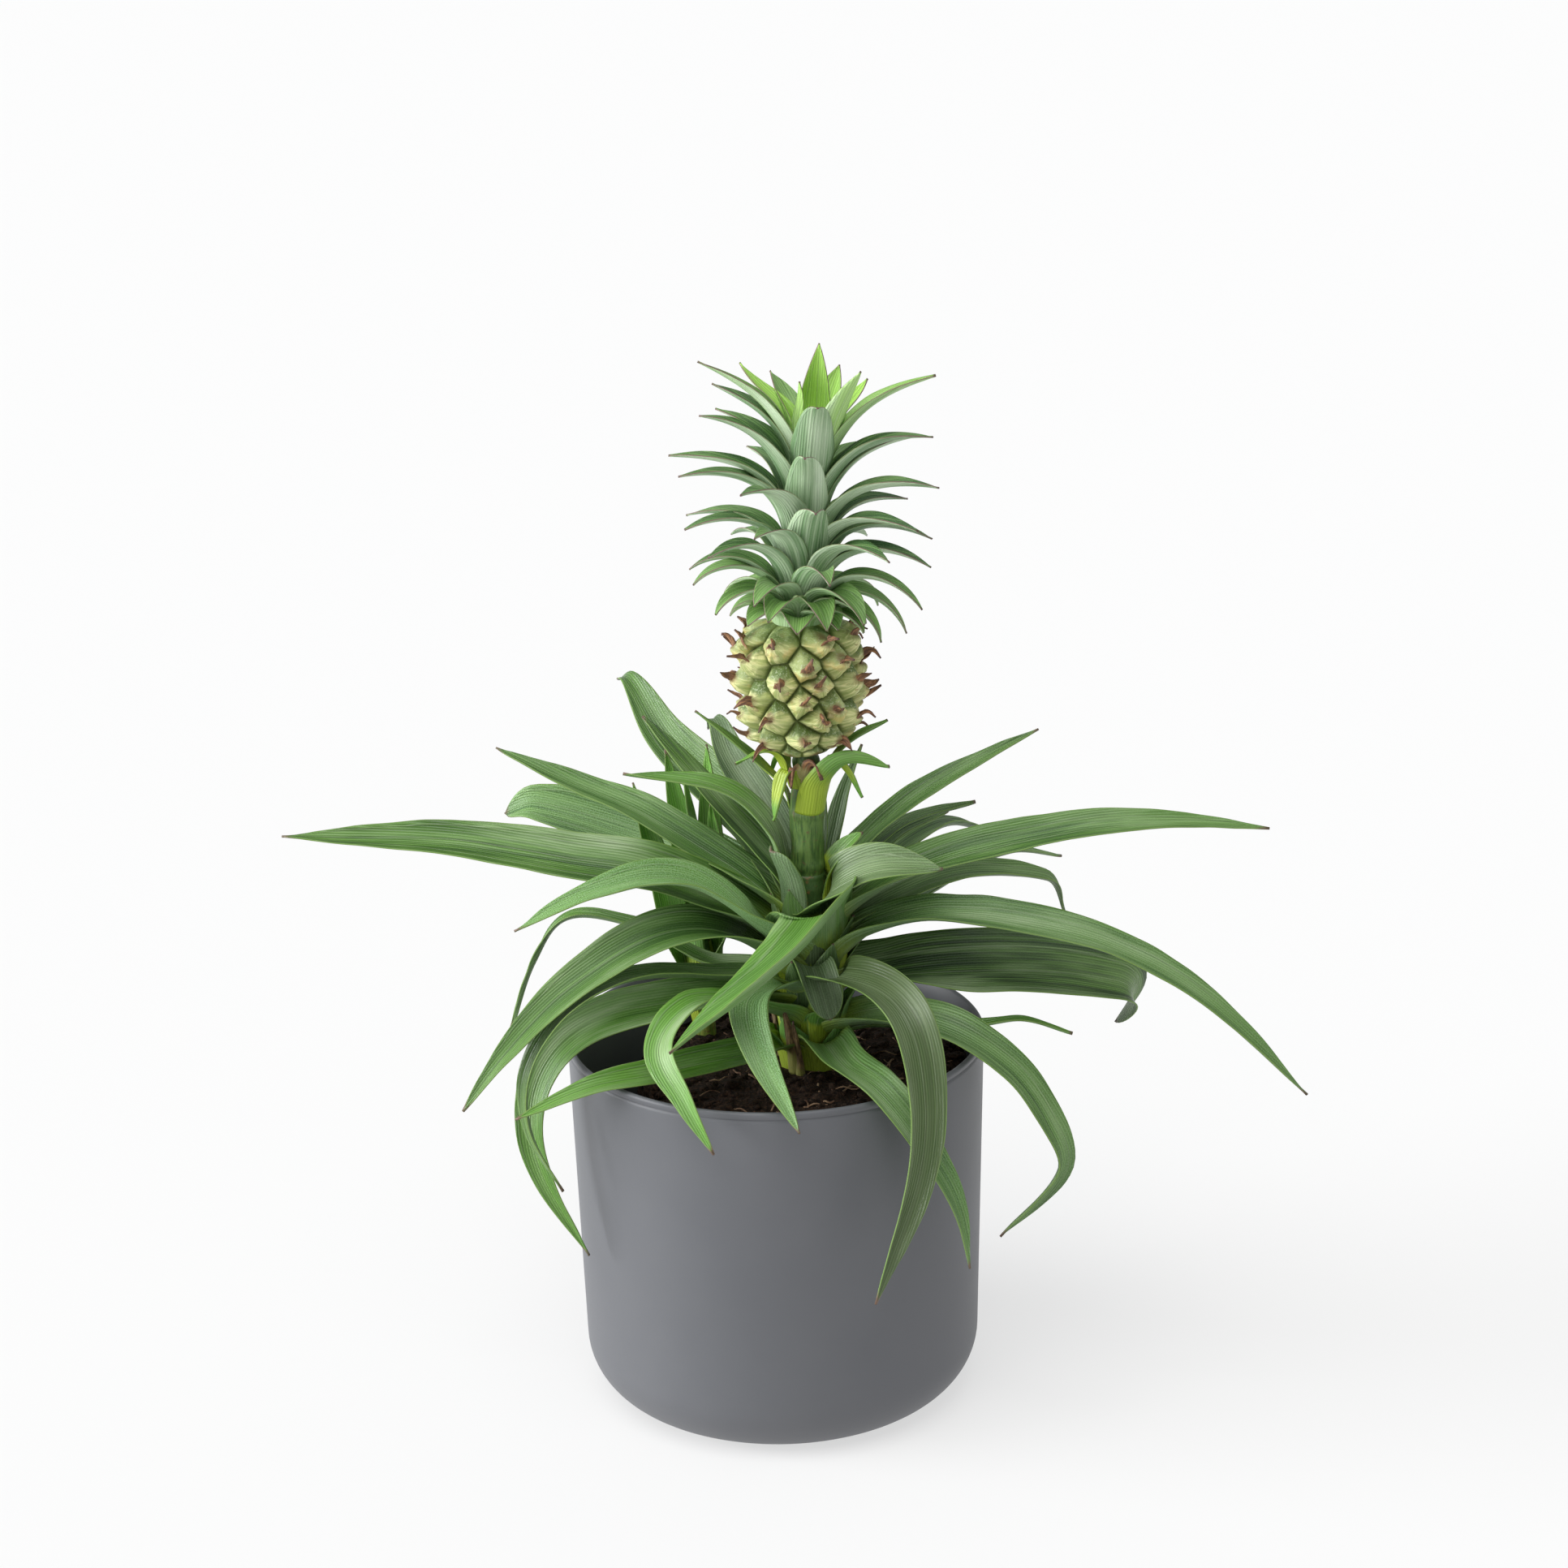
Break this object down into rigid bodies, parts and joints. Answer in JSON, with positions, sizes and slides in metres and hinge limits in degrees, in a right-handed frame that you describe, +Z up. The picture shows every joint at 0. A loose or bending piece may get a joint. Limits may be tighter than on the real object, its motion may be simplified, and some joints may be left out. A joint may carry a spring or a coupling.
{
  "type": "potted pineapple plant",
  "caption": "Miniature pineapple plant in a round grey plastic pot: a rosette of arching strap leaves, a stalk bearing a small fruit with a leafy crown, and a side shoot.",
  "frame": {"origin": "centre of the pot's flat base, on the surface that the pot stands on", "axes": "+Z up along the pot's axis; +X towards the side that the plant is nearest to; -Y towards the front, where the gap beside the root ball is on the left"},
  "size_m": [0.3376, 0.1813, 0.359],
  "materials": {
    "pot": "satin",
    "soil": "matte",
    "leaf": "satin",
    "shoot_leaf": "satin",
    "bract": "satin",
    "stem": "satin",
    "fruit": "satin",
    "crown": "satin"
  },
  "bodies": {
    "root": {"bract_01": "bract", "bract_02": "bract", "bract_03": "bract", "crown_stem": "crown", "crown_whorl_1": "crown", "crown_whorl_2": "crown", "crown_whorl_3": "crown", "crown_whorl_4": "crown", "crown_whorl_5": "crown", "crown_whorl_6": "crown", "crown_whorl_7": "crown", "fruit": "fruit", "leaf_01": "leaf", "leaf_02": "leaf", "leaf_03": "leaf", "leaf_04": "leaf", "leaf_05": "leaf", "leaf_06": "leaf", "leaf_07": "leaf", "leaf_08": "leaf", "leaf_09": "leaf", "leaf_10": "leaf", "leaf_11": "leaf", "leaf_12": "leaf", "leaf_13": "leaf", "leaf_14": "leaf", "leaf_15": "leaf", "leaf_16": "leaf", "leaf_17": "leaf", "leaf_18": "leaf", "leaf_19": "leaf", "leaf_20": "leaf", "leaf_21": "leaf", "leaf_22": "leaf", "leaf_23": "leaf", "leaf_24": "leaf", "leaf_25": "leaf", "leaf_26": "leaf", "leaf_27": "leaf", "leaf_28": "leaf", "leaf_29": "leaf", "leaf_30": "leaf", "leaf_31": "leaf", "leaf_32": "leaf", "leaf_33": "leaf", "leaf_34": "leaf", "leaf_35": "leaf", "leaf_36": "leaf", "leaf_37": "leaf", "leaf_38": "leaf", "peduncle": "stem", "pot": "pot", "root_ball": "soil", "side_shoot_leaf_01": "shoot_leaf", "side_shoot_leaf_02": "shoot_leaf", "side_shoot_leaf_03": "shoot_leaf", "side_shoot_leaf_04": "shoot_leaf", "side_shoot_leaf_05": "shoot_leaf", "side_shoot_stem": "stem", "stem": "stem"}
  },
  "joints": []
}
